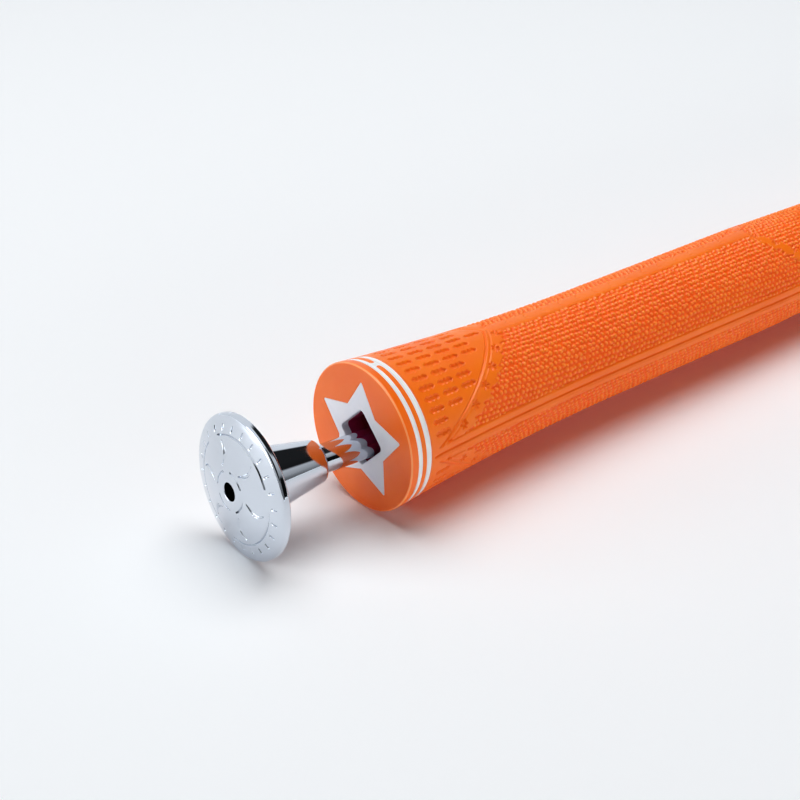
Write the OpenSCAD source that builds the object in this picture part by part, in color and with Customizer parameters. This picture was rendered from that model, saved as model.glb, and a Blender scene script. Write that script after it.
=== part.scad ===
// Rubber club grip with a push-in end plug.
// The grip lies along +X, from the outer face of its end cap at the origin to its open mouth. +Z is up.
// The plug stands loosely in the cap's square hole, in the lower corner, with the rim of its head low enough
// to rest on the surface that the grip lies on.

/* [Grip sleeve] */
// Length of the grip from the cap's face to the mouth
grip_len = 267; // [220:1:330]
// Diameter of the cap's face
butt_d = 31; // [28:0.5:38]
// Diameter of the long middle stretch
palm_d = 24.8; // [22:0.2:27]
// Diameter at the mouth
mouth_d = 18; // [16:0.2:21]
// Length of the flare behind the cap
flare_len = 65; // [45:1:90]
// Distance from the cap's face to the start of the taper to the mouth
palm_end = 112; // [95:1:150]
// Rounding of the lip at the mouth
lip_r = 1; // [0.4:0.1:1.4]

/* [Shaft core] */
// Diameter of the core next to the cap
core_butt_d = 15.2; // [13:0.1:16.5]
// Diameter of the core's straight stretch at the mouth
core_mouth_d = 12.4; // [11:0.1:13.2]
// Length of the core's straight stretch at the mouth
core_mouth_len = 15; // [8:1:30]

/* [End cap] */
// Thickness of the whole cap, with its spigot
cap_t = 5; // [4.2:0.1:7]
// Thickness of the cap's flange, at full diameter
flange_t = 1.9; // [1.5:0.1:2.5]
// Rounding of the flange's outer edge
flange_round = 0.45; // [0.2:0.05:0.8]
// Diameter of the spigot that seats in the sleeve
spigot_d = 20; // [18:0.5:23]
// Width of the square hole across its flats
hole_side = 9; // [7.4:0.1:9.6]
// Corner rounding of the square hole
hole_round = 1; // [0.4:0.1:1.8]

/* [Star inlay] */
// Distance from the centre to the star's tips
star_r = 12.5; // [11.5:0.1:13.8]
// Distance from the centre to the star's inner corners
star_in_r = 7.2; // [7:0.1:8.5]
// Thickness of the star
star_t = 1.6; // [1:0.1:1.8]
// Rounding of the star's tips
star_tip_round = 0.35; // [0.1:0.05:0.6]

/* [Stripe band] */
// Width of the front ring
front_ring_w = 1.1; // [0.8:0.1:1.6]
// Width of the rear ring
rear_ring_w = 1.3; // [0.8:0.1:1.8]
// Gap between the rings
ring_gap = 1.1; // [0.8:0.1:1.6]
// Narrowest width of the bar that joins the rings
bar_w = 1.5; // [1:0.1:3]
// Depth of the rings and the bar
band_t = 0.6; // [0.4:0.05:0.9]

/* [Plug] */
// Diameter of the head
disc_d = 29.3; // [25:0.1:34]
// Thickness of the head at its rim
disc_t = 1.5; // [1.2:0.1:2.4]
// Height of the head's dome over its rim
dome_h = 2.7; // [1.5:0.1:4]
// Rounding of the head's rim
disc_round = 0.6; // [0.3:0.05:0.7]
// Diameter of the hole along the plug's axis
vent_d = 3.7; // [2.4:0.1:4.2]
// Diameter of the spigot behind the head
disc_spigot_d = 7; // [6:0.1:9]
// Length of the spigot behind the head
disc_spigot_len = 2; // [1:0.1:3.5]
// Diameter of the hub at the head
hub_base_d = 14.4; // [11.5:0.1:17]
// Diameter of the hub's small end
hub_end_d = 8.6; // [8.2:0.1:10.5]
// Distance from the head's rim to the hub's small end
hub_len = 17.5; // [14:0.5:20]
// Rounding of the hub's small end
hub_round = 0.8; // [0.3:0.05:0.9]
// Least width of the hub's end face round the groove
hub_lip = 0.4; // [0.3:0.05:0.8]
// Diameter of the stem
stem_d = 5.86; // [5:0.02:6.2]
// Length of the stem inside the hub
stem_seat = 10; // [6:0.5:11]
// Length of the stem past the cap's face
stem_in = 12; // [9:0.5:30]
// Chamfer of the stem's free end
stem_chamfer = 0.5; // [0.2:0.1:0.8]

/* [Pose at rest] */
// Distance from the head's rim to the cap's face
plug_out = 28; // [24:0.5:34]
// Sideways turn of the plug, in degrees
plug_yaw = 2.2; // [0:0.1:3]
// Slope of the surface underneath against the grip's axis, in degrees
rest_slope = 0.6; // [0:0.1:1.4]

/* [Fits] */
// Clearance between the stem and the hole's walls
stem_clear = 0.13; // [0.1:0.01:0.4]
// Clearance between the stem and the hub's socket, on the radius
socket_clear = 0.05; // [0.02:0.01:0.1]
// Clearance behind the stem's seated end
seat_clear = 0.2; // [0.1:0.1:0.5]
// Width of the shadow groove round the stem
groove_w = 0.45; // [0.3:0.05:0.8]
// Depth of the shadow groove round the stem
groove_t = 0.7; // [0.3:0.1:1.5]

/* [Hidden] */
$fn = 96;

BODY_ORANGE = [0.94, 0.38, 0.11];
CAP_ORANGE = [0.93, 0.42, 0.2];
WHITE = [0.95, 0.95, 0.97];
CHROME = [0.86, 0.87, 0.9];

FLARE_STEPS = 16;
DOME_STEPS = 12;
ARC_STEPS = 5;
STAR_POINTS = 5;
CUT = 1;          // how far a cutting shape runs past the face that it cuts

butt_r = butt_d / 2;
palm_r = palm_d / 2;
mouth_r = mouth_d / 2;
disc_r = disc_d / 2;
vent_r = vent_d / 2;
stem_r = stem_d / 2;
socket_r = stem_r + socket_clear;
seat_x = hub_len - stem_seat;

front_ring_x = flange_t;
rear_ring_x = front_ring_x + front_ring_w + ring_gap;

// The stem lies in the lower corner of the square hole, touching nothing, so its axis is this far down at
// the lower end of the hole. Its sideways turn takes half of the hole's depth on each side.
stem_lay = (hole_side / 2 - stem_r - stem_clear) * sqrt(2) - cap_t / 2 * tan(plug_yaw);
// The head's rim reaches down to the surface that the cap rests on.
disc_drop = butt_r + plug_out * tan(rest_slope) - disc_r;
// The plug dips into the grip, or out of it on a wider grip, and its axis is lowest at that end of the hole.
lean = stem_lay - disc_drop;
plug_dip = asin(lean / (plug_out + (lean > 0 ? cap_t : 0)));
mid_drop = stem_lay - cap_t / 2 * abs(sin(plug_dip));

// Outer radius of the grip at a distance x from the cap's face.
function flare_r(x) = palm_r + (butt_r - palm_r) * pow(1 - x / flare_len, 2);
function taper_r(x) = palm_r - (palm_r - mouth_r) * (x - palm_end) / (grip_len - palm_end);
function grip_r(x) = x < flare_len ? flare_r(x) : x < palm_end ? palm_r : taper_r(x);

// Points of an arc of radius r that rounds the corner at q, between its neighbours p and s.
function unit(v) = v / norm(v);
function turn(a) = a > 180 ? a - 360 : a < -180 ? a + 360 : a;
function corner_arc(p, q, s, r) =
    let (u = unit(p - q),
         v = unit(s - q),
         half = acos(u * v) / 2,
         c = q + unit(u + v) * r / sin(half),
         from = q + u * r / tan(half) - c,
         to = q + v * r / tan(half) - c,
         a = atan2(from.y, from.x),
         sweep = turn(atan2(to.y, to.x) - a))
    [for (i = [0:ARC_STEPS]) c + r * [cos(a + sweep * i / ARC_STEPS), sin(a + sweep * i / ARC_STEPS)]];

// A closed outline whose corner i is rounded by radii[i], or left sharp at 0.
function rounded(pts, radii) =
    let (n = len(pts))
    [for (i = [0:n - 1])
        each radii[i] == 0 ? [pts[i]] : corner_arc(pts[(i + n - 1) % n], pts[i], pts[(i + 1) % n], radii[i])];

// A solid of revolution about the X axis, from an outline of [radius, x] points.
module turned(outline) {
    rotate([0, 90, 0]) rotate_extrude() polygon(outline);
}

// A plate that stands on the YZ plane, from an outline of [y, z] points.
module plate(outline, x0, t) {
    translate([x0, 0, 0]) rotate([90, 0, 90]) linear_extrude(height = t) polygon(outline);
}

// Puts what is modelled about the plug's own axis in its place. The head's rim is at x = 0.
module plug_place() {
    translate([cap_t / 2, 0, -mid_drop])
        rotate([0, plug_dip, -plug_yaw])
            translate([-plug_out - cap_t / 2, 0, 0])
                children();
}

// Outline of the square hole, standing on its corner.
function hole_outline() =
    let (r = hole_side / sqrt(2))
    rounded([for (i = [0:3]) r * [sin(90 * i), cos(90 * i)]], [for (i = [0:3]) hole_round]);

// Outline of the star, with one tip straight up.
function star_outline() =
    let (half_step = 180 / STAR_POINTS)
    rounded([for (i = [0:2 * STAR_POINTS - 1])
                (i % 2 == 0 ? star_r : star_in_r) * [sin(half_step * i), cos(half_step * i)]],
            [for (i = [0:2 * STAR_POINTS - 1]) i % 2 == 0 ? star_tip_round : 0]);

// One ring of the band: the skin of the grip from x0 over a width w.
module ring(x0, w) {
    turned([[grip_r(x0), x0],
            [grip_r(x0 + w / 2), x0 + w / 2],
            [grip_r(x0 + w), x0 + w],
            [grip_r(x0 + w) - band_t, x0 + w],
            [grip_r(x0) - band_t, x0]]);
}

// The bar between the rings, with its sides hollowed round the ends of the strip between them.
module bar() {
    x0 = front_ring_x + front_ring_w;
    side = bar_w / 2 + ring_gap / 2;
    intersection() {
        ring(x0, ring_gap);
        difference() {
            translate([x0, -side, 0]) cube([ring_gap, 2 * side, butt_r + CUT]);
            for (s = [-1, 1])
                translate([x0 + ring_gap / 2, s * side, -CUT]) cylinder(d = ring_gap, h = butt_r + 3 * CUT);
        }
    }
}

module band_shape() {
    ring(front_ring_x, front_ring_w);
    ring(rear_ring_x, rear_ring_w);
    bar();
}

module grip_sleeve() {
    taper_x = grip_len - core_mouth_len;
    color(BODY_ORANGE)
    difference() {
        turned(concat(
            [for (i = [0:FLARE_STEPS])
                let (x = flange_t + (flare_len - flange_t) * i / FLARE_STEPS) [grip_r(x), x]],
            [[palm_r, palm_end]],
            corner_arc([palm_r, palm_end], [mouth_r, grip_len], [core_mouth_d / 2, grip_len], lip_r),
            [[core_mouth_d / 2, grip_len],
             [core_mouth_d / 2, taper_x],
             [core_butt_d / 2, cap_t],
             [spigot_d / 2, cap_t],
             [spigot_d / 2, flange_t]]));
        band_shape();
    }
}

module end_cap() {
    color(CAP_ORANGE)
    difference() {
        turned(rounded([[0, 0],
                        [grip_r(0), 0],
                        [grip_r(flange_t), flange_t],
                        [spigot_d / 2, flange_t],
                        [spigot_d / 2, cap_t],
                        [0, cap_t]],
                       [0, flange_round, 0, 0, 0, 0]));
        plate(star_outline(), -CUT, CUT + star_t);
        plate(hole_outline(), -CUT, cap_t + 2 * CUT);
    }
}

module star_inlay() {
    color(WHITE)
    difference() {
        plate(star_outline(), 0, star_t);
        plate(hole_outline(), -CUT, star_t + 2 * CUT);
    }
}

module stripe_band() {
    color(WHITE) band_shape();
}

module marker_disc() {
    // The dome is a shallow parabola that stops short of the rim's rounding.
    dome_edge = disc_r - 2 * disc_round;
    color(CHROME)
    plug_place()
    turned(concat(
        [for (i = [0:DOME_STEPS])
            let (r = vent_r + (dome_edge - vent_r) * i / DOME_STEPS)
            [r, -dome_h * (1 - pow(r / disc_r, 2))]],
        corner_arc([dome_edge, -dome_h * (1 - pow(dome_edge / disc_r, 2))], [disc_r, 0],
                   [disc_r, disc_t], disc_round),
        corner_arc([disc_r, 0], [disc_r, disc_t], [0, disc_t], disc_round),
        [[disc_spigot_d / 2, disc_t],
         [disc_spigot_d / 2, disc_t + disc_spigot_len],
         [vent_r, disc_t + disc_spigot_len]]));
}

module plug_hub() {
    groove_r = stem_r + groove_w;
    end_r = max(hub_end_d / 2, groove_r + hub_lip);
    end_round = min(hub_round, end_r - groove_r);
    color(CHROME)
    plug_place()
    turned(concat(
        [[disc_spigot_d / 2, disc_t],
         [hub_base_d / 2, disc_t]],
        corner_arc([hub_base_d / 2, disc_t], [end_r, hub_len], [groove_r, hub_len], end_round),
        [[groove_r, hub_len],
         [groove_r, hub_len - groove_t],
         [socket_r, hub_len - groove_t],
         [socket_r, seat_x],
         [vent_r, seat_x],
         [vent_r, disc_t + disc_spigot_len],
         [disc_spigot_d / 2, disc_t + disc_spigot_len]]));
}

module plug_stem() {
    tip_x = plug_out + stem_in;
    color(CHROME)
    plug_place()
    turned([[stem_r, seat_x + seat_clear],
            [stem_r, tip_x - stem_chamfer],
            [stem_r - stem_chamfer, tip_x],
            [vent_r, tip_x],
            [vent_r, seat_x + seat_clear]]);
}

grip_sleeve();
end_cap();
star_inlay();
stripe_band();
marker_disc();
plug_hub();
plug_stem();
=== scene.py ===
"""A rubber club grip with a push-in chrome end plug, in detail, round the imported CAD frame.

The grip lies along +X from its cap's face at the origin. Angles round it run from the top line.
Shapes are worked out in millimetres and stored in metres.
"""

import math

import bpy
import numpy as np
from mathutils import Euler, Matrix, Vector


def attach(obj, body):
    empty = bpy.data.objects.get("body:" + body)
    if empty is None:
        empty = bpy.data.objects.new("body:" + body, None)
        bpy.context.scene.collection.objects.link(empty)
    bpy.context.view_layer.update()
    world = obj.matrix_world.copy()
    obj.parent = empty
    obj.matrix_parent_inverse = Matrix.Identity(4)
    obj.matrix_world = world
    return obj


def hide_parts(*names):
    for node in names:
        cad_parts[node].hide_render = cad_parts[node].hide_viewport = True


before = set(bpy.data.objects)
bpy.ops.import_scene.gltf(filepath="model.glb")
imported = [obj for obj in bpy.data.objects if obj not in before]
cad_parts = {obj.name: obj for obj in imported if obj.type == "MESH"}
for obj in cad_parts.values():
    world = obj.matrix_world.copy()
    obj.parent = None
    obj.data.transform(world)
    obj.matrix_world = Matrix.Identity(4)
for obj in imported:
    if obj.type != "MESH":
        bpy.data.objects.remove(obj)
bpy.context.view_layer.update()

MM = 0.001

# Grip sleeve
GRIP_LEN = 267.0
BUTT_R = 15.5
PALM_R = 12.4
MOUTH_R = 9.0
FLARE_LEN = 65.0
PALM_END = 112.0
LIP_R = 1.0
CORE_MOUTH_R = 6.2
CORE_BUTT_R = 7.6
CORE_MOUTH_LEN = 15.0

# End cap, star and stripe band
CAP_T = 5.0
FLANGE_T = 1.9
FLANGE_ROUND = 0.45
SPIGOT_R = 10.0
HOLE_HALF = 4.5
HOLE_ROUND = 1.0
STAR_R = 12.5
STAR_IN_R = 7.2
STAR_T = 1.6
STAR_TIP_ROUND = 0.35
STAR_SEAM = 0.03
RING_1 = (1.9, 3.0)
RING_2 = (4.1, 5.4)
BAND_T = 0.6
BAR_W = 1.5

# Plug
DISC_R = 14.65
DISC_T = 1.5
DOME_H = 2.7
DISC_ROUND = 0.6
VENT_R = 1.85
DISC_SPIGOT_R = 3.5
DISC_SPIGOT_END = 3.5
HUB_BASE_R = 7.2
HUB_END_R = 4.3
HUB_LEN = 17.5
HUB_ROUND = 0.8
STEM_R = 2.93
SOCKET_R = 2.98
STEM_START = 7.7
SEAT_X = 7.5
STEM_TIP = 40.0
STEM_CHAMFER = 0.5
GROOVE_R = 3.38
GROOVE_T = 0.7

# Pose of the plug and of the surface underneath
PLUG_OUT = 28.0
PLUG_YAW = 2.2
REST_SLOPE = 0.6
STEM_CLEAR = 0.13

# Relief of the sleeve's skin
SKIN_COLUMNS = 640
SKIN_STEP_FRONT = 0.13
SKIN_STEP_PALM = 0.2
SKIN_STEP_TAPER = 0.34
FRONT_END = 36.0
PALM_FIELD_END = 126.0
RELIEF = 0.36
PEBBLE_PITCH = 1.24
PEBBLE_R = 0.46
TOP_PANEL = 1.7
RIB_OUT = 1.88
DASH_PITCH = 4.95
DASH_LEN = 3.8
DASH_HALF = 0.55
MOUTH_FLAT = GRIP_LEN - 1.5

# Depths of the relief
DASH_DEPTH = 0.46
MARK_DEPTH = 0.42
ARC_DEPTH = 0.32
ARC_SIDE_DEPTH = 0.12
STROKE_DEPTH = 0.1
PANEL_LINE_DEPTH = 0.08
RIB_GROOVE_DEPTH = 0.34
RIB_DROP = 0.12
RIB_EDGE_DEPTH = 0.2
MOUTH_RING_DEPTH = 0.25
DEEPEST = 0.62
ENGRAVING_DEPTH = 0.32

# Columns round the axis
CAP_COLUMNS = 1440
ROUND_COLUMNS = 720
HUB_COLUMNS = 288
STEM_COLUMNS = 192
BAR_COLUMNS = 28
BAR_ROWS = 25


def step(edge, width, value):
    """0 below the edge and 1 above it, smoothly over a width."""
    t = np.clip((value - edge) / width + 0.5, 0, 1)
    return t * t * (3 - 2 * t)


def bump(value, half_width):
    """A rounded pulse round zero, 1 high."""
    t = np.clip(1 - (value / half_width) ** 2, 0, 1)
    return t * t * (3 - 2 * t)


def skin_radius(x):
    """Nominal outer radius of the grip at x."""
    x = np.asarray(x, float)
    flare = PALM_R + (BUTT_R - PALM_R) * np.clip(1 - x / FLARE_LEN, 0, 1) ** 2
    taper = (PALM_R - MOUTH_R) * np.clip((x - PALM_END) / (GRIP_LEN - PALM_END), 0, 1)
    return flare - taper


def radius_at(x):
    """The grip's radius at one x, as a plain number."""
    return float(skin_radius(x))


# ---- Meshes ----

def grid_faces(n_rows, n_cols, closed=True):
    """Quads of a grid that closes round its columns, and also from its last row to its first."""
    index = np.arange(n_rows * n_cols).reshape(n_rows, n_cols)
    around = np.roll(index, -1, 1)
    quads = np.stack([index, around, np.roll(around, -1, 0), np.roll(index, -1, 0)], -1)
    if not closed:
        quads = quads[:-1]
    return quads.reshape(-1, 4)


def outward(points, quads):
    """The quads, turned so that they face out of the closed surface."""
    a, b, c, d = (points[quads[:, i]] for i in range(4))
    volume = np.einsum("ij,ij->i", a, np.cross(b, c) + np.cross(c, d)).sum()
    return quads if volume > 0 else quads[:, ::-1]


def ring_shell(rows):
    """A closed ring-shaped surface from rows of points, each row once round the axis."""
    rows = np.asarray(rows, float)
    points = rows.reshape(-1, 3)
    return points, outward(points, grid_faces(rows.shape[0], rows.shape[1]))


def turned_rows(profile, angles):
    """Rows round the X axis from a profile of (radius, x). A radius may be one value for each column."""
    rows = []
    for radius, x in profile:
        r = np.broadcast_to(radius, angles.shape)
        rows.append(np.stack([np.full_like(angles, x), -r * np.sin(angles), r * np.cos(angles)], -1))
    return rows


def piece(name, shells, body, nodes, material, matrix=None, sharp=40):
    """An object made of closed shells, that stands for CAD nodes and rides on their body."""
    points, faces, count = [], [], 0
    for shell_points, shell_faces in shells:
        points.append(shell_points)
        faces.append(shell_faces + count)
        count += len(shell_points)
    points = np.concatenate(points) * MM
    faces = np.concatenate(faces)
    mesh = bpy.data.meshes.new(name)
    mesh.from_pydata(points, [], faces.tolist())
    if matrix is not None:
        mesh.transform(matrix)
    mesh.polygons.foreach_set("use_smooth", np.ones(len(faces), bool))
    if sharp:
        mesh.set_sharp_from_angle(angle=math.radians(sharp))
    mesh.update()
    obj = bpy.data.objects.new(name, mesh)
    bpy.context.scene.collection.objects.link(obj)
    obj.data.materials.append(material)
    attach(obj, body)
    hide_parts(*nodes)
    return obj


def mark_points(obj, name, values):
    """Stores a number for each of a piece's points, for its material to read."""
    layer = obj.data.attributes.new(name, "FLOAT", "POINT")
    layer.data.foreach_set("value", np.asarray(values, np.float32).ravel())


def softened(corners, steps=5):
    """A profile with rounded corners, from (radius, x, rounding).

    A row beside each arc keeps the flats flat.
    """
    out = []
    count = len(corners)
    for i in range(count):
        r, x, size = corners[i]
        here = np.array([r, x])
        if size <= 0:
            out.append((r, x))
            continue
        before = np.array(corners[i - 1][:2]) - here
        after = np.array(corners[(i + 1) % count][:2]) - here
        u = before / np.linalg.norm(before)
        v = after / np.linalg.norm(after)
        half = math.acos(max(-1, min(1, float(u @ v)))) / 2
        reach = size / math.tan(half)
        centre = here + (u + v) / np.linalg.norm(u + v) * size / math.sin(half)
        first = here + u * reach - centre
        last = here + v * reach - centre
        guard_u = min(0.35 * size, np.linalg.norm(before) - reach)
        guard_v = min(0.35 * size, np.linalg.norm(after) - reach)
        if guard_u > 0.01:
            out.append(tuple(here + u * (reach + guard_u)))
        for k in range(steps + 1):
            blend = k / steps
            arm = first * (1 - blend) + last * blend
            arm = arm / np.linalg.norm(arm) * size
            out.append(tuple(centre + arm))
        if guard_v > 0.01:
            out.append(tuple(here + v * (reach + guard_v)))
    return out


# ---- Relief of the skin ----

def arc_front(phi):
    """X of the curved groove behind the dashes, at an angle from the top line in degrees."""
    return 31.6 - 0.1275 * phi - 0.00183 * phi ** 2


def arc_palm(phi):
    """X of the curved margin at the far end of the first pebble field, which has marks but no groove."""
    return 113.4 + 0.1275 * phi + 0.00183 * phi ** 2


def arc_mouth(phi):
    """X of the curved groove near the mouth, which opens towards the mouth."""
    return 236.0 + 0.11 * phi + 0.0016 * phi ** 2


def across_arc(x, phi, radius, arc):
    """Distance past a curved margin, square to it."""
    slope = (arc(phi + 0.5) - arc(phi - 0.5)) / (np.radians(1) * radius)
    return (x - arc(phi)) / np.sqrt(1 + slope ** 2)


def dash_relief(along, side, half):
    """Depth share of one dash: round ends, and edges that swell to a small point in the middle."""
    half_len = DASH_LEN / 2
    lobes = np.exp(-((np.abs(along) - 1.1) / 0.42) ** 2)
    cusp = np.exp(-np.abs(along) / 0.2)
    swell = half * (0.5 + 0.5 * lobes + 0.85 * cusp)
    end = np.clip(1 - (np.clip(np.abs(along) - (half_len - 0.32), 0, None) / 0.32) ** 2, 0, 1)
    edge = swell * np.sqrt(end)
    return step(0, 0.1, edge - np.abs(side)) * (np.abs(along) < half_len + 0.1)


def dash_rows(x, phi, radius, start, gap, count, angle_step, reach):
    """Depth share of the dashes in one zone. reach(row angle) is where that row's dashes must end."""
    depth = np.zeros_like(x)
    arc_mm = np.radians(1) * radius
    for k in range(count):
        angle = k * angle_step
        first = start + 0.4 * min(1.0, angle / 18)
        number = int((reach(angle) - gap - first - DASH_LEN) / DASH_PITCH + 1)
        side = (phi - angle) * arc_mm
        for j in range(number):
            along = x - (first + DASH_PITCH * j + DASH_LEN / 2)
            near = (np.abs(along) < 2.4) & (np.abs(side) < 1.6)
            depth[near] += dash_relief(along[near], side[near], DASH_HALF)
    return depth


def pebbles(u, v, seed):
    """Height share of a field of irregular pebbles in jittered hexagonal cells."""
    rng = np.random.default_rng(seed)
    rows, cols = 64, 256
    jitter = rng.uniform(-0.17, 0.17, (rows, cols, 2))
    size = rng.uniform(0.8, 1.18, (rows, cols))
    oval = rng.uniform(0.9, 1.12, (rows, cols))
    turn = rng.uniform(0, math.pi, (rows, cols))
    row_h = PEBBLE_PITCH * math.sqrt(3) / 2
    j0 = np.floor(v / row_h).astype(int)
    near = np.full_like(u, 9.0)
    second = np.full_like(u, 9.0)
    for dj in (-1, 0, 1, 2):
        j = j0 + dj
        shift = (j % 2) * 0.5
        i0 = np.floor(u / PEBBLE_PITCH - shift).astype(int)
        for di in (-1, 0, 1, 2):
            i = i0 + di
            jj, ii = j % rows, i % cols
            du = u - (i + shift + jitter[jj, ii, 0]) * PEBBLE_PITCH
            dv = v - (j + jitter[jj, ii, 1]) * row_h
            c, s = np.cos(turn[jj, ii]), np.sin(turn[jj, ii])
            a, b = du * c + dv * s, dv * c - du * s
            stretch = oval[jj, ii]
            reach = PEBBLE_R * size[jj, ii]
            d = np.sqrt((a * stretch) ** 2 + (b / stretch) ** 2) / reach
            second = np.minimum(second, np.maximum(near, d))
            near = np.minimum(near, d)
    dome = np.sqrt(np.clip(1 - np.clip(near, 0, 1) ** 2, 0, 1))
    return dome * (0.2 + 0.8 * step(0.24, 0.48, second - near))


def mark_relief(x, phi, radius, arc, offset, spacing, first, count):
    """Depth share of a row of small six-armed marks that follows a curved margin."""
    depth = np.zeros_like(x)
    arc_mm = np.radians(1) * radius
    angle = first
    for _ in range(count):
        centre = arc(angle) + offset
        dx = x - centre
        dy = (phi - angle) * arc_mm
        near = (np.abs(dx) < 1.6) & (np.abs(dy) < 1.6)
        d = np.hypot(dx[near], dy[near])
        a = np.arctan2(dy[near], dx[near])
        reach = 0.68 + 0.36 * np.cos(6 * a)
        depth[near] = np.maximum(depth[near], step(0, 0.14, reach - d))
        here = radius_at(centre)
        slope = (arc(angle + 0.5) - arc(angle - 0.5)) / math.radians(1) / here
        angle += spacing / math.sqrt(1 + slope ** 2) / math.radians(1) / here
    return depth


def chevrons(x, side, start, end):
    """Depth share of the sparse slanted strokes on the smooth top panel."""
    t = (x - start) % 5.0 - 2.5
    inside = (x > start) & (x < end)
    lean = np.abs(side) * 0.9 - t - 0.4
    stroke = bump(lean, 0.28) * step(0.25, 0.2, np.abs(side)) * (1 - step(1.05, 0.2, np.abs(side)))
    return stroke * inside


def skin_relief(x, angle):
    """The skin over a grid of x and angle.

    Returns its height in mm (0 or less), a share for the painted highlight on the pebble tops, and how
    deep it lies between pebbles, for the painted shade there.
    """
    radius = skin_radius(x)
    turn_deg = np.degrees(angle) % 360
    half_turn = np.where(turn_deg > 180, 360 - turn_deg, turn_deg)
    phi = np.where(half_turn > 90, 180 - half_turn, half_turn)
    arc_mm = np.radians(1) * radius
    from_top = phi * arc_mm
    from_side = (90 - phi) * arc_mm

    past_front = across_arc(x, phi, radius, arc_front)
    past_palm = across_arc(x, phi, radius, arc_palm)
    past_mouth = across_arc(x, phi, radius, arc_mouth)

    # Two pebble fields, each between two curved margins, the top panel and the side band.
    clear_side = step(RIB_OUT + 0.05, 0.16, from_side)
    clear_top = step(TOP_PANEL, 0.16, from_top)
    ragged = 0.3 * np.sin(from_top * 2.9) + 0.25 * np.sin(from_top * 5.3 + 1)
    field_1 = step(3.4, 0.2, past_front + ragged) * (1 - step(-3.4, 0.2, past_palm + ragged))
    field_1 = field_1 * clear_top
    field_2 = step(-1.2, 0.2, past_palm) * (1 - step(-3.2, 0.2, past_mouth))
    field_2 = field_2 * np.where(x > 150, clear_top, 1)
    field = np.maximum(field_1, field_2) * clear_side
    seed_of = (turn_deg // 90).astype(int)
    grain = np.zeros_like(x)
    for quarter in range(4):
        mine = seed_of == quarter
        grain[mine] = pebbles(x[mine], from_top[mine], 11 + quarter)
    height = -RELIEF * field * (1 - grain)
    # Shares for the material's painted highlight on the pebble tops and painted shade between them.
    wear_and_highlight = field * grain ** 2
    between = field * (1 - grain)

    # The curved grooves, each with a shallower second line beside it.
    reaches_side = 1 - step(1.1, 0.3, (phi > 84) * 2.0)
    for past, sign in ((past_front, 1), (past_mouth, -1)):
        height = height - ARC_DEPTH * bump(past, 0.3) * reaches_side
        height = height - ARC_SIDE_DEPTH * bump(past * sign - 0.95, 0.3) * reaches_side

    # Dashes behind the band, and again near the mouth.
    behind = past_front < 0
    dashes = dash_rows(x, phi, radius, 6.8, 1.0, 9, 9.15, arc_front) * behind
    near_mouth = past_mouth > 0
    dashes = dashes + dash_rows(MOUTH_FLAT - x, phi, radius, 5.4, 1.0, 6, 12.9,
                                lambda row: MOUTH_FLAT - arc_mouth(row)) * near_mouth
    height = height - DASH_DEPTH * dashes

    # Small marks along the margins.
    marks = mark_relief(x, phi, radius, arc_front, 2.75, 4.65, 7.5, 7)
    marks = np.maximum(marks, mark_relief(x, phi, radius, arc_palm, -2.3, 4.65, 10.0, 7))
    marks = np.maximum(marks, mark_relief(x, phi, radius, arc_mouth, -1.9, 4.4, 9.0, 6))
    height = height - MARK_DEPTH * marks * clear_side

    # The smooth panel on top, edged by a fine line, with slanted strokes.
    panel = (x > 33.5) & (x < 107.5)
    height = height - STROKE_DEPTH * chevrons(x, from_top, 36, 106)
    height = height - PANEL_LINE_DEPTH * bump(from_top - TOP_PANEL + 0.25, 0.24) * panel

    # Two flat ribs on each side with a groove between them.
    on_band = step(0.0, 2.0, past_front - 0.4) * (1 - step(GRIP_LEN - 9, 3.0, x))
    height = height - RIB_GROOVE_DEPTH * bump(from_side, 0.3) * on_band
    height = height - RIB_DROP * (1 - step(0.66, 0.16, from_side)) * on_band
    height = height - RIB_EDGE_DEPTH * bump(from_side - RIB_OUT, 0.22) * on_band

    # Two thin rings at the mouth.
    for at in (GRIP_LEN - 4.2, GRIP_LEN - 2.9):
        height = height - MOUTH_RING_DEPTH * bump(x - at, 0.34)
    plain = 1 - step(6.3, 0.4, x) * (1 - step(GRIP_LEN - 5.0, 0.4, x))
    quiet = step(5.6, 0.3, x) * (1 - step(GRIP_LEN - 1.6, 0.3, x))
    height = np.where(plain > 0.5, np.where(x > 100, height, 0), height) * quiet
    return np.clip(height, -DEEPEST, 0), wear_and_highlight * quiet, between * quiet


# ---- Procedural materials ----

def srgb(r, g, b):
    """A linear colour from 8-bit display values."""
    linear = [c / 255 / 12.92 if c <= 10 else ((c / 255 + 0.055) / 1.055) ** 2.4 for c in (r, g, b)]
    return tuple(linear) + (1,)


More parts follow.
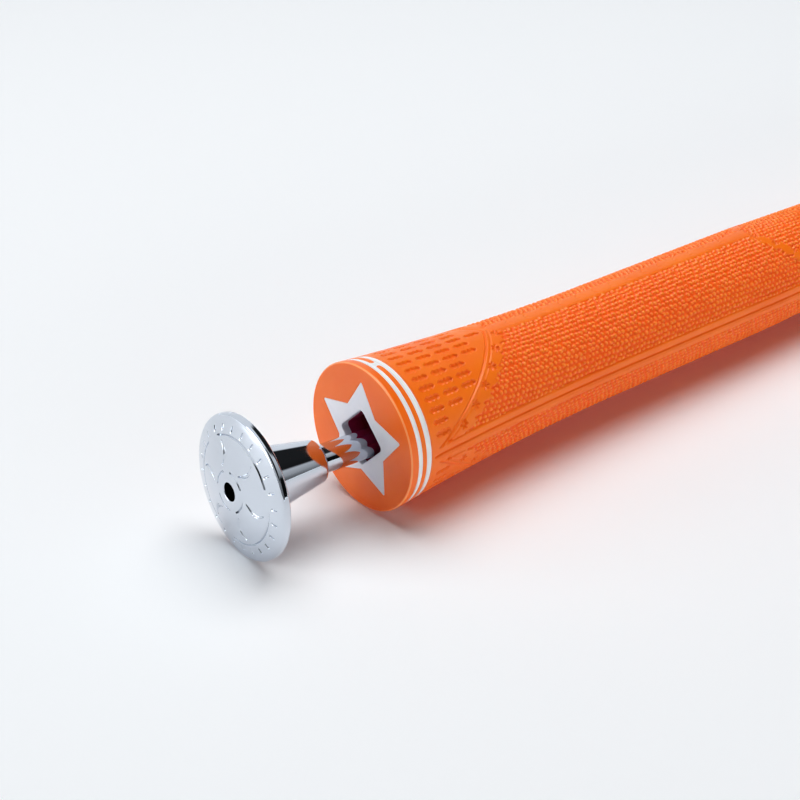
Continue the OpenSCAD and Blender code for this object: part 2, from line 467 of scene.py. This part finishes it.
class Nodes:
    """Builds a material's node tree."""

    def __init__(self, name):
        self.material = bpy.data.materials.new(name)
        self.material.use_nodes = True
        self.tree = self.material.node_tree
        self.shader = self.tree.nodes["Principled BSDF"]
        self.place = self.add("ShaderNodeTexCoord").outputs["Object"]

    def add(self, kind, **values):
        node = self.tree.nodes.new(kind)
        for key, value in values.items():
            setattr(node, key, value)
        return node

    def join(self, source, target):
        self.tree.links.new(source, target)

    def noise(self, scale, detail=2.0, rough=0.5, stretch=None):
        node = self.add("ShaderNodeTexNoise")
        node.inputs["Scale"].default_value = scale
        node.inputs["Detail"].default_value = detail
        node.inputs["Roughness"].default_value = rough
        source = self.place
        if stretch:
            mapping = self.add("ShaderNodeMapping")
            mapping.inputs["Scale"].default_value = stretch
            self.join(self.place, mapping.inputs["Vector"])
            source = mapping.outputs["Vector"]
        self.join(source, node.inputs["Vector"])
        return node.outputs["Fac"]

    def spread(self, value, low, high, to_low, to_high):
        node = self.add("ShaderNodeMapRange")
        node.inputs["From Min"].default_value = low
        node.inputs["From Max"].default_value = high
        node.inputs["To Min"].default_value = to_low
        node.inputs["To Max"].default_value = to_high
        self.join(value, node.inputs["Value"])
        return node.outputs["Result"]

    def mix(self, factor, first, second):
        node = self.add("ShaderNodeMix", data_type="RGBA")
        self.join(factor, node.inputs["Factor"])
        for value, socket in ((first, node.inputs[6]), (second, node.inputs[7])):
            if isinstance(value, tuple):
                socket.default_value = value
            else:
                self.join(value, socket)
        return node.outputs[2]

    def maths(self, how, first, second):
        node = self.add("ShaderNodeMath", operation=how)
        for value, socket in ((first, node.inputs[0]), (second, node.inputs[1])):
            if isinstance(value, (int, float)):
                socket.default_value = value
            else:
                self.join(value, socket)
        return node.outputs[0]

    def attribute(self, name):
        return self.add("ShaderNodeAttribute", attribute_name=name).outputs["Fac"]

    def bumped(self, height, strength, distance):
        node = self.add("ShaderNodeBump")
        node.inputs["Strength"].default_value = strength
        node.inputs["Distance"].default_value = distance
        self.join(height, node.inputs["Height"])
        self.join(node.outputs["Normal"], self.shader.inputs["Normal"])

    def fixed(self, **values):
        for key, value in values.items():
            self.shader.inputs[key.replace("_", " ")].default_value = value


# Painted shade: the colour of the rubber inside the hole and the core, as it looks in shade.
PAINTED_INNER_SHADE = srgb(185, 45, 95)

# The rubber emits a faint constant red glow, painted light that keeps shaded rubber red instead of
# turning brown.
PAINTED_GLOW_COLOUR = (1.0, 0.05, 0.0, 1)
PAINTED_GLOW = 0.09


def orange_skin():
    """Moulded matt rubber: cloudy colour, painted shade in the recesses, a painted highlight on the
    pebble tops, painted shade inside and a faint painted red glow.
    """
    n = Nodes("moulded_orange_rubber")
    cloud = n.spread(n.noise(70, 3), 0.35, 0.65, 0, 1)
    base = n.mix(cloud, srgb(239, 117, 6), srgb(242, 127, 12))
    # Painted shade: a deeper red-orange in the recesses between pebbles, which are also rougher.
    recess = n.spread(n.attribute("recess"), 0.4, 1, 0, 0.7)
    skin = n.mix(recess, base, srgb(237, 93, 1))
    # Painted highlight: a pale orange on the pebble tops.
    tops = n.spread(n.attribute("wear_and_highlight"), 0.35, 1, 0, 0.85)
    skin = n.mix(tops, skin, srgb(248, 156, 66))
    # Painted shade on the inner surfaces.
    colour = n.mix(n.attribute("inner"), skin, PAINTED_INNER_SHADE)
    n.join(colour, n.shader.inputs["Base Color"])
    wear_and_highlight = n.spread(n.noise(900, 3), 0.3, 0.7, 0.36, 0.5)
    rough = n.maths("ADD", wear_and_highlight, n.maths("MULTIPLY", recess, 0.12))
    n.join(rough, n.shader.inputs["Roughness"])
    grain = n.maths("ADD", n.noise(7000, 2), n.maths("MULTIPLY", n.noise(1500, 2), 1.4))
    n.bumped(grain, 0.22, 0.00004)
    n.fixed(Specular_IOR_Level=0.7, Subsurface_Weight=0.15, Subsurface_Scale=0.0006)
    n.fixed(Subsurface_Radius=(1.0, 0.22, 0.05), Sheen_Weight=0.2, Sheen_Roughness=0.25)
    # A faint constant red glow, painted light, on the outer surfaces and none inside.
    n.join(n.spread(n.attribute("inner"), 0, 1, PAINTED_GLOW, 0), n.shader.inputs["Emission Strength"])
    n.fixed(Emission_Color=PAINTED_GLOW_COLOUR)
    return n.material


def orange_cap():
    """Smooth moulded rubber of the cap, with faint flow marks and a fine grain, a painted highlight
    along the rim's rounding, painted shade inside and a faint painted red glow.
    """
    n = Nodes("smooth_orange_rubber")
    cloud = n.spread(n.noise(120, 3), 0.3, 0.7, 0, 1)
    base = n.mix(cloud, srgb(238, 114, 12), srgb(241, 122, 20))
    # Painted highlight: a pale line along the rounding of the flange's rim.
    edge = n.mix(n.attribute("edge"), base, srgb(255, 190, 130))
    # Painted shade on the inner surfaces.
    colour = n.mix(n.attribute("inner"), edge, PAINTED_INNER_SHADE)
    n.join(colour, n.shader.inputs["Base Color"])
    n.join(n.spread(n.noise(600, 4), 0.3, 0.7, 0.28, 0.4), n.shader.inputs["Roughness"])
    grain = n.maths("ADD", n.noise(5200, 3), n.noise(260, 2))
    n.bumped(grain, 0.12, 0.00005)
    n.fixed(Specular_IOR_Level=0.7, Subsurface_Weight=0.2, Subsurface_Scale=0.0012)
    n.fixed(Subsurface_Radius=(1.0, 0.22, 0.05))
    # A faint constant red glow, painted light, on the outer surfaces and none inside.
    n.join(n.spread(n.attribute("inner"), 0, 1, PAINTED_GLOW, 0), n.shader.inputs["Emission Strength"])
    n.fixed(Emission_Color=PAINTED_GLOW_COLOUR)
    return n.material


def white_rubber():
    """Cool white moulded rubber of the star."""
    n = Nodes("white_moulded_rubber")
    cloud = n.spread(n.noise(140, 3), 0.3, 0.7, 0, 1)
    base = n.mix(cloud, srgb(239, 240, 249), srgb(247, 247, 253))
    n.join(base, n.shader.inputs["Base Color"])
    n.join(n.spread(n.noise(800, 3), 0.3, 0.7, 0.34, 0.46), n.shader.inputs["Roughness"])
    n.bumped(n.noise(5000, 3), 0.12, 0.00004)
    return n.material


def white_fill():
    """Glossy white paint fill of the rings, a little uneven, as poured into its grooves."""
    n = Nodes("white_paint_fill")
    cloud = n.spread(n.noise(220, 4), 0.35, 0.65, 0, 1)
    base = n.mix(cloud, srgb(240, 241, 244), srgb(250, 250, 251))
    n.join(base, n.shader.inputs["Base Color"])
    n.join(n.spread(n.noise(900, 2), 0.3, 0.7, 0.16, 0.26), n.shader.inputs["Roughness"])
    n.bumped(n.noise(420, 2, stretch=(1, 0.5, 0.5)), 0.2, 0.00006)
    n.fixed(Coat_Weight=0.3, Coat_Roughness=0.08)
    return n.material


def chrome():
    """Polished chrome plate with a trace of haze and hairline polishing marks."""
    n = Nodes("polished_chrome")
    cloud = n.spread(n.noise(110, 3), 0.3, 0.7, 0, 1)
    base = n.mix(cloud, srgb(208, 213, 221), srgb(215, 220, 228))
    n.join(base, n.shader.inputs["Base Color"])
    haze = n.spread(n.noise(380, 5, 0.6), 0.35, 0.75, 0.035, 0.085)
    n.join(haze, n.shader.inputs["Roughness"])
    lines = n.noise(420, 3, stretch=(1, 24, 1))
    n.bumped(lines, 0.03, 0.00002)
    n.fixed(Metallic=1.0)
    return n.material


# ---- Pieces ----

def ray_outline(t, tip_r, normal, distance, tip_round, grow):
    """Distance from the centre to a straight side of an outline and its rounded tip, along rays at t."""
    line = (distance + grow) / np.cos(t - normal)
    half = math.pi / 2 - normal
    centre = tip_r - tip_round / math.sin(half)
    size = tip_round + grow
    tangent = math.atan2(math.sin(normal) * size, centre + math.cos(normal) * size)
    inside = np.clip(size ** 2 - (centre * np.sin(t)) ** 2, 0, None)
    return np.where(t < tangent, centre * np.cos(t) + np.sqrt(inside), line)


def star_edge(angles, grow=0.0):
    """Radius of the star's outline, grown outwards by a distance."""
    step_angle = math.radians(36)
    t = np.abs((angles + step_angle) % (2 * step_angle) - step_angle)
    dx = STAR_IN_R * math.cos(step_angle) - STAR_R
    dy = STAR_IN_R * math.sin(step_angle)
    normal = math.atan2(-dx, dy)
    return ray_outline(t, STAR_R, normal, STAR_R * math.cos(normal), STAR_TIP_ROUND, grow)


def hole_edge(angles, grow=0.0):
    """Radius of the square hole, which stands on its corner, grown outwards by a distance."""
    quarter = math.radians(45)
    t = np.abs((angles + quarter) % (2 * quarter) - quarter)
    return ray_outline(t, HOLE_HALF * math.sqrt(2), quarter, HOLE_HALF, HOLE_ROUND, grow)


def face_angles(count=CAP_COLUMNS):
    """Angles of the columns round the axis."""
    return np.arange(count) * 2 * math.pi / count


def end_cap(material):
    """The cap: a rounded flange, a star-shaped recess, the square hole and the spigot behind."""
    a = face_angles()
    outer = radius_at(0)
    back = radius_at(FLANGE_T)
    profile = softened([(outer - 3, 0, 0), (outer, 0, FLANGE_ROUND), (back, FLANGE_T, 0.08),
                        (SPIGOT_R, FLANGE_T, 0), (SPIGOT_R - 0.02, CAP_T, 0.2)])
    open_edge = [(star_edge(a, 0.16), 0.0), (star_edge(a, 0.07), 0.004), (star_edge(a, 0.03), 0.02),
                 (star_edge(a, 0.0), 0.07), (star_edge(a, 0.0), 0.2), (star_edge(a, 0.0), STAR_T)]
    hole = [(hole_edge(a, 0.0), STAR_T), (hole_edge(a, 0.0), CAP_T - 0.2),
            (hole_edge(a, 0.06), CAP_T - 0.06), (hole_edge(a, 0.2), CAP_T)]
    rows = np.array(turned_rows(profile + hole[::-1] + open_edge[::-1], a))
    obj = piece("cap_body", [ring_shell(rows)], "grip", ["end_cap"], material)
    off_axis = np.hypot(rows[..., 1], rows[..., 2])
    # Points inside the hole and spigot get painted shade and no glow.
    mark_points(obj, "inner", (off_axis < SPIGOT_R - 1) & (rows[..., 0] > STAR_T - 0.1))
    # Points on the rim's rounding get a painted highlight.
    from_corner = np.hypot(off_axis - outer, rows[..., 0])
    mark_points(obj, "edge", np.clip(1 - np.abs(from_corner - 0.18) / 0.2, 0, 1))
    return obj


def star_inlay(material):
    """The star, flush with the cap's face, with fine rounded edges and the square hole through it."""
    a = face_angles()
    seam = -STAR_SEAM
    profile = [(star_edge(a, seam), STAR_T), (star_edge(a, seam), 0.12),
               (star_edge(a, seam - 0.03), 0.04), (star_edge(a, seam - 0.08), 0.008),
               (star_edge(a, seam - 0.16), 0.0),
               (hole_edge(a, 0.3), 0.0), (hole_edge(a, 0.16), 0.015), (hole_edge(a, 0.06), 0.07),
               (hole_edge(a, 0.02), 0.16), (hole_edge(a, 0.0), 0.3), (hole_edge(a, 0.0), STAR_T)]
    rows = turned_rows(profile, a)
    return piece("star_plate", [ring_shell(rows)], "grip", ["star_inlay"], material)


def filled_ring(x0, x1, angles):
    """One ring of white fill, with a slightly hollow top and rounded edges."""
    profile = [(radius_at(x0) - BAND_T, x0)]
    for k in range(15):
        t = k / 14
        x = x0 + (x1 - x0) * t
        edge = 0.07 * (abs(2 * t - 1) ** 8)
        hollow = 0.17 * (1 - (2 * t - 1) ** 2)
        profile.append((radius_at(x) - edge - hollow, x))
    profile.append((radius_at(x1) - BAND_T, x1))
    return ring_shell(turned_rows(profile, angles))


def filled_bar():
    """The bar between the rings on the top line, its sides hollowed round the ends of the strip."""
    gap = RING_2[0] - RING_1[1]
    count = BAR_COLUMNS
    rows = []
    for i in range(BAR_ROWS):
        x = RING_1[1] - 0.12 + (gap + 0.24) * i / (BAR_ROWS - 1)
        off = min(1.0, abs(x - RING_1[1] - gap / 2) / (gap / 2))
        half = BAR_W / 2 + gap / 2 * (1 - math.sqrt(max(0.0, 1 - off ** 2)))
        top = radius_at(x)
        row = []
        for k in range(count):
            t = 2 * math.pi * k / count
            c, s = math.cos(t), math.sin(t)
            y = half * math.copysign(abs(c) ** 0.3, c)
            lift = 0.3 * math.copysign(abs(s) ** 0.4, s)
            sag = top - math.sqrt(top ** 2 - y ** 2)
            row.append((x, y, top - 0.33 + lift - sag))
        rows.append(row)
    rows = np.array(rows)
    ends = np.array([rows[0].mean(0), rows[-1].mean(0)])
    points = np.concatenate([rows.reshape(-1, 3), ends])
    quads = [tuple(q) for q in grid_faces(BAR_ROWS, count, closed=False)]
    last = (BAR_ROWS - 1) * count
    for k in range(count):
        nxt = (k + 1) % count
        quads.append((BAR_ROWS * count, nxt, k, k))
        quads.append((BAR_ROWS * count + 1, last + k, last + nxt, last + nxt))
    return points, quads


def stripe_band(material):
    """The two white rings and the bar that joins them."""
    a = face_angles(ROUND_COLUMNS)
    front = filled_ring(RING_1[0], RING_1[1], a)
    rear = filled_ring(RING_2[0], RING_2[1], a)
    piece("band_rings", [front, rear], "grip", ["stripe_band"], material)
    points, quads = filled_bar()
    mesh = bpy.data.meshes.new("band_bar")
    faces = [tuple(dict.fromkeys(int(i) for i in q)) for q in quads]
    mesh.from_pydata(points * MM, [], faces)
    mesh.polygons.foreach_set("use_smooth", np.ones(len(faces), bool))
    mesh.update()
    bar = bpy.data.objects.new("band_bar", mesh)
    bpy.context.scene.collection.objects.link(bar)
    mesh.materials.append(material)
    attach(bar, "grip")
    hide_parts("stripe_band")


def skin_rows_x():
    """X of the skin's rows, from the band to the lip."""
    front = np.arange(RING_2[1] + 0.14, FRONT_END, SKIN_STEP_FRONT)
    palm = np.arange(FRONT_END, PALM_FIELD_END, SKIN_STEP_PALM)
    taper = np.arange(PALM_FIELD_END, GRIP_LEN - LIP_R, SKIN_STEP_TAPER)
    return np.concatenate([front, palm, taper])


def grip_sleeve(material):
    """The sleeve: the rings' grooves, the moulded skin, the mouth's lip, the core and the cap's seat."""
    a = face_angles(SKIN_COLUMNS)
    r = radius_at
    low = BAND_T + 0.01
    start = softened([(SPIGOT_R + 0.03, FLANGE_T + 0.02, 0), (r(FLANGE_T) - low, FLANGE_T + 0.02, 0),
                      (r(RING_1[1]) - low, RING_1[1], 0), (r(RING_1[1]), RING_1[1], 0.09),
                      (r(RING_2[0]), RING_2[0], 0.09), (r(RING_2[0]) - low, RING_2[0], 0),
                      (r(RING_2[1]) - low, RING_2[1], 0), (r(RING_2[1]), RING_2[1], 0.1),
                      (r(12), 12, 0)])[:-1]
    xs = skin_rows_x()
    grid_x, grid_a = np.meshgrid(xs, a, indexing="ij")
    height, wear_and_highlight, between = skin_relief(grid_x, grid_a)
    radius = skin_radius(grid_x) + height
    skin = np.stack([grid_x, -radius * np.sin(grid_a), radius * np.cos(grid_a)], -1)
    lip = softened([(r(GRIP_LEN - 6), GRIP_LEN - 6, 0), (MOUTH_R, GRIP_LEN, LIP_R),
                    (CORE_MOUTH_R, GRIP_LEN, 0.35), (CORE_MOUTH_R, GRIP_LEN - 6, 0)], steps=8)[1:-1]
    core = [(CORE_MOUTH_R, GRIP_LEN - CORE_MOUTH_LEN), (CORE_BUTT_R, CAP_T + 0.4),
            (CORE_BUTT_R + 0.3, CAP_T), (SPIGOT_R + 0.03, CAP_T)]
    front_rows = turned_rows(start, a)
    for row, (row_r, row_x) in zip(front_rows, start):
        if RING_1[1] - 0.01 <= row_x <= RING_2[0] + 0.01 and row_r > r(row_x) - 0.3:
            dip = 0.09 * bump(row[:, 1], 2.0) * (row[:, 2] > 0)
            row[:, 2] -= dip
    rows = np.concatenate([np.array(front_rows), skin, np.array(turned_rows(lip + core, a))])
    obj = piece("sleeve_skin", [ring_shell(rows)], "grip", ["grip_sleeve"], material,
                sharp=0)
    # The material paints shade in the recesses and highlights on the pebble tops from these.
    for name, share in (("recess", between), ("wear_and_highlight", wear_and_highlight)):
        values = np.zeros(rows.shape[:2])
        values[len(front_rows):len(front_rows) + len(xs)] = share
        mark_points(obj, name, values)
    off_axis = np.hypot(rows[..., 1], rows[..., 2])
    # Points of the core get painted shade and no glow.
    mark_points(obj, "inner", off_axis < CORE_BUTT_R + 0.1 - rows[..., 0] * 0.005)
    return obj


def plug_matrix():
    """Where the plug stands: from its own axis, with the head's rim at x = 0, to the grip's frame."""
    slack = HOLE_HALF - STEM_R - STEM_CLEAR
    lay = slack * math.sqrt(2) - CAP_T / 2 * math.tan(math.radians(PLUG_YAW))
    drop = BUTT_R + PLUG_OUT * math.tan(math.radians(REST_SLOPE)) - DISC_R
    dip = math.asin((lay - drop) / (PLUG_OUT + CAP_T))
    mid_drop = lay - CAP_T / 2 * math.sin(dip)
    turn = Euler((0, dip, math.radians(-PLUG_YAW)), "XYZ").to_matrix().to_4x4()
    at = Matrix.Translation(Vector((CAP_T / 2, 0, -mid_drop)) * MM)
    back = Matrix.Translation(Vector((-PLUG_OUT - CAP_T / 2, 0, 0)) * MM)
    return at @ turn @ back


def dome_x(radius):
    """X of the head's domed face at a radius."""
    return -DOME_H * (1 - (radius / DISC_R) ** 2)


def engraving(radius, angles):
    """Depth in mm of the plain pattern in the dome: fine circles, a dial of ticks, and short curls."""
    depth = np.zeros(angles.shape)
    turn = np.degrees(angles) % 360

    def cut(amount):
        np.maximum(depth, amount, out=depth)

    circle = bump(radius - 4.1, 0.2)
    cut(circle * (np.abs((turn + 15) % 90 - 45) < 31))
    cut(bump(radius - 10.9, 0.2) * (np.abs((turn + 45) % 120 - 60) < 49))
    spoke = (turn % 15) - 7.5
    tick = bump(np.radians(spoke) * radius, 0.24)
    span = step(11.6, 0.3, radius) * (1 - step(12.8, 0.3, radius))
    cut(tick * span)
    leaf = (turn % 60) - 30
    curl = np.radians(leaf) * radius - 1.5 * math.sin((radius - 5.2) * 0.55)
    width = 0.16 + 0.26 * math.sin(math.pi * min(1, max(0, (radius - 5.2) / 4.6)))
    cut(bump(curl, width) * (5.2 < radius < 9.8))
    return depth * ENGRAVING_DEPTH


def marker_disc(material, matrix):
    """The head: an engraved dome round the vent, a rounded rim, a flat back and the spigot."""
    a = face_angles(ROUND_COLUMNS)
    front = np.arange(VENT_R + 0.32, DISC_R - 2 * DISC_ROUND, 0.1)
    rows = [(VENT_R, DISC_SPIGOT_END), (VENT_R, dome_x(VENT_R) + 0.5),
            (VENT_R, dome_x(VENT_R) + 0.3)]
    for k in range(1, 7):
        t = math.pi / 2 * k / 6
        r = VENT_R + 0.22 * (1 - math.cos(t))
        rows.append((r, dome_x(VENT_R + 0.22) + 0.22 * (1 - math.sin(t))))
    profile_rows = turned_rows(rows, a)
    for r in front:
        x = dome_x(r) + engraving(float(r), a)
        profile_rows.append(np.stack([x, -r * np.sin(a), r * np.cos(a)], -1))
    edge = DISC_R - 2 * DISC_ROUND
    rim = softened([(edge, dome_x(edge), 0), (DISC_R, 0.0, DISC_ROUND),
                    (DISC_R, DISC_T, DISC_ROUND * 0.8), (DISC_SPIGOT_R + 4, DISC_T, 0)], steps=10)[:-1]
    back = [(HUB_BASE_R + 0.6, DISC_T), (DISC_SPIGOT_R, DISC_T), (DISC_SPIGOT_R, DISC_SPIGOT_END)]
    profile_rows += turned_rows(rim + back, a)
    shell = ring_shell(profile_rows)
    return piece("head_disc", [shell], "head", ["marker_disc"], material, matrix)


def plug_hub(material, matrix):
    """The hub: a slim cone with a rounded end, the groove round the stem, and the sockets inside."""
    a = face_angles(HUB_COLUMNS)
    corners = [(DISC_SPIGOT_R, DISC_T, 0), (HUB_BASE_R, DISC_T, 0.12), (HUB_END_R, HUB_LEN, HUB_ROUND),
               (GROOVE_R, HUB_LEN, 0.1), (GROOVE_R, HUB_LEN - GROOVE_T, 0),
               (SOCKET_R, HUB_LEN - GROOVE_T, 0), (SOCKET_R, SEAT_X, 0), (VENT_R, SEAT_X, 0),
               (VENT_R, DISC_SPIGOT_END, 0),
               (DISC_SPIGOT_R, DISC_SPIGOT_END, 0)]
    shell = ring_shell(turned_rows(softened(corners, steps=10), a))
    return piece("hub_cone", [shell], "head", ["plug_hub"], material, matrix)


def plug_stem(material, matrix):
    """The stem: a straight tube with a chamfered free end."""
    a = face_angles(STEM_COLUMNS)
    corners = [(VENT_R, STEM_START, 0), (STEM_R, STEM_START, 0.1),
               (STEM_R, STEM_TIP - STEM_CHAMFER, 0.15), (STEM_R - STEM_CHAMFER, STEM_TIP, 0.1),
               (VENT_R, STEM_TIP, 0.08)]
    shell = ring_shell(turned_rows(softened(corners, steps=6), a))
    return piece("stem_tube", [shell], "stem", ["plug_stem"], material, matrix)


# ---- Studio ----

TENT_SEEN = 0.8
TENT_LIGHT = 0.05
OPENING_EDGE = 3
OPENING_DARK = 0.03
FLOOR_HALF = 6.0
COOL_WHITE = (0.97, 0.99, 1.0)
WARM_WHITE = (1.0, 0.98, 0.96)

# The viewpoint fitted to the photograph: metres and degrees
CAMERA_LENS = 82.84
CAMERA_AT = (-0.19499, -0.24043, 0.18310)
CAMERA_TURN = (60.5717, -0.6813, -40.0577)


def floor():
    """A plain pale surface under the cap and the head's rim, which brightens far from the part."""
    n = Nodes("pale_floor")
    base = n.mix(n.noise(3, 2), srgb(249, 250, 252), srgb(251, 252, 254))
    n.join(base, n.shader.inputs["Base Color"])
    n.fixed(Roughness=0.7, Specular_IOR_Level=0.2)
    away = n.add("ShaderNodeVectorMath", operation="LENGTH")
    n.join(n.place, away.inputs[0])
    n.join(n.spread(away.outputs["Value"], 0.45, 1.6, 0, 1), n.shader.inputs["Emission Strength"])
    n.fixed(Emission_Color=(0.8, 0.84, 0.88, 1))
    corners = [(x * FLOOR_HALF, y * FLOOR_HALF, 0) for x, y in ((-1, -1), (1, -1), (1, 1), (-1, 1))]
    mesh = bpy.data.meshes.new("floor")
    mesh.from_pydata(corners, [], [(0, 1, 2, 3)])
    obj = bpy.data.objects.new("floor", mesh)
    mesh.materials.append(n.material)
    bpy.context.scene.collection.objects.link(obj)
    obj.location = (0, 0, -BUTT_R * MM - 0.0001)
    obj.rotation_euler = (0, math.radians(-REST_SLOPE), 0)


def soft_light(name, at, target, size, power, colour):
    """One large soft box that looks at a point."""
    data = bpy.data.lights.new(name, "AREA")
    data.shape = "RECTANGLE"
    data.size, data.size_y = size
    data.energy = power
    data.color = colour
    obj = bpy.data.objects.new(name, data)
    obj.location = at
    direction = Vector(target) - Vector(at)
    obj.rotation_euler = direction.to_track_quat("-Z", "Y").to_euler()
    obj.visible_camera = False
    bpy.context.scene.collection.objects.link(obj)
    return obj


def studio_world():
    """A pale tent, open and dark in two places, which gives the chrome its black bands."""
    world = bpy.data.worlds.new("tent")
    world.use_nodes = True
    tree = world.node_tree
    sky = tree.nodes["Background"]

    def maths(how, first, second):
        node = tree.nodes.new("ShaderNodeMath")
        node.operation = how
        for value, socket in ((first, node.inputs[0]), (second, node.inputs[1])):
            if isinstance(value, float):
                socket.default_value = value
            else:
                tree.links.new(value, socket)
        return node.outputs[0]

    place = tree.nodes.new("ShaderNodeTexCoord")

    def along(direction, low, high, to_low):
        """From to_low to 1 as the cosine of the angle to a direction goes from low to high."""
        dot = tree.nodes.new("ShaderNodeVectorMath")
        dot.operation = "DOT_PRODUCT"
        dot.inputs[1].default_value = Vector(direction).normalized()
        tree.links.new(place.outputs["Generated"], dot.inputs[0])
        ramp = tree.nodes.new("ShaderNodeMapRange")
        ramp.interpolation_type = "SMOOTHSTEP"
        ramp.inputs["From Min"].default_value = low
        ramp.inputs["From Max"].default_value = high
        ramp.inputs["To Min"].default_value = to_low
        tree.links.new(dot.outputs["Value"], ramp.inputs["Value"])
        return ramp.outputs[0]

    def opening(direction, half_angle):
        """Dark inside a cone round a direction, with a soft edge."""
        inner = math.cos(math.radians(half_angle - OPENING_EDGE))
        outer = math.cos(math.radians(half_angle + OPENING_EDGE))
        return along(direction, inner, outer, OPENING_DARK)

    ray = tree.nodes.new("ShaderNodeLightPath")
    gap = opening((-0.1, -0.6, 0.75), 26)
    near_side = along((0.1, 0.9, 0.4), -0.8, 0.3, 0.25)
    shape = maths("MULTIPLY", opening((0.80, 0.02, 0.60), 31), opening((0.45, -0.88, 0.12), 20))
    shape = maths("MULTIPLY", maths("MULTIPLY", shape, gap), near_side)
    mirrored = maths("MULTIPLY", ray.outputs["Is Glossy Ray"], maths("MULTIPLY", shape, TENT_SEEN))
    plain = maths("SUBTRACT", 1.0, ray.outputs["Is Glossy Ray"])
    seen = ray.outputs["Is Camera Ray"]
    rest = maths("MULTIPLY", maths("SUBTRACT", plain, seen), TENT_LIGHT)
    total = maths("ADD", maths("ADD", mirrored, seen), rest)
    sky.inputs["Color"].default_value = (0.93, 0.965, 1.0, 1)
    tree.links.new(total, sky.inputs["Strength"])
    bpy.context.scene.world = world


def camera():
    """The photograph's viewpoint."""
    data = bpy.data.cameras.new("camera")
    data.lens = CAMERA_LENS
    data.sensor_width = 36
    data.clip_start = 0.01
    obj = bpy.data.objects.new("camera", data)
    obj.location = CAMERA_AT
    obj.rotation_euler = tuple(math.radians(v) for v in CAMERA_TURN)
    bpy.context.scene.collection.objects.link(obj)
    bpy.context.scene.camera = obj


def build():
    """Makes every piece and the studio."""
    metal = chrome()
    sleeve = grip_sleeve(orange_skin())
    cap = end_cap(orange_cap())
    star_inlay(white_rubber())
    stripe_band(white_fill())
    placed = plug_matrix()
    marker_disc(metal, placed)
    plug_hub(metal, placed)
    plug_stem(metal, placed)
    floor()
    studio_world()
    key = soft_light("key", (0.2, 0.16, 1.0), (0.05, 0, 0), (1.1, 0.8), 8.9, COOL_WHITE)
    key.visible_glossy = False
    soft_light("side", (-0.85, 0.34, 0.26), (0, 0, 0), (0.6, 0.4), 3.4, COOL_WHITE)
    front = soft_light("front", (0.15, -0.9, 0.13), (0.1, 0, 0), (1.2, 0.26), 2.2, WARM_WHITE)
    front.visible_glossy = False
    shine = soft_light("shine", (0.1, 0.1, 1.0), (0.1, 0, 0), (0.55, 0.45), 3.0, (1.0, 1.0, 1.0))
    shine.visible_diffuse = False
    rubber = bpy.data.collections.new("lit_rubber")
    for part in (sleeve, cap):
        rubber.objects.link(part)
    shine.light_linking.receiver_collection = rubber
    camera()
    bpy.context.scene.view_settings.view_transform = "Standard"
    bpy.context.scene.view_settings.look = "Medium High Contrast"


build()
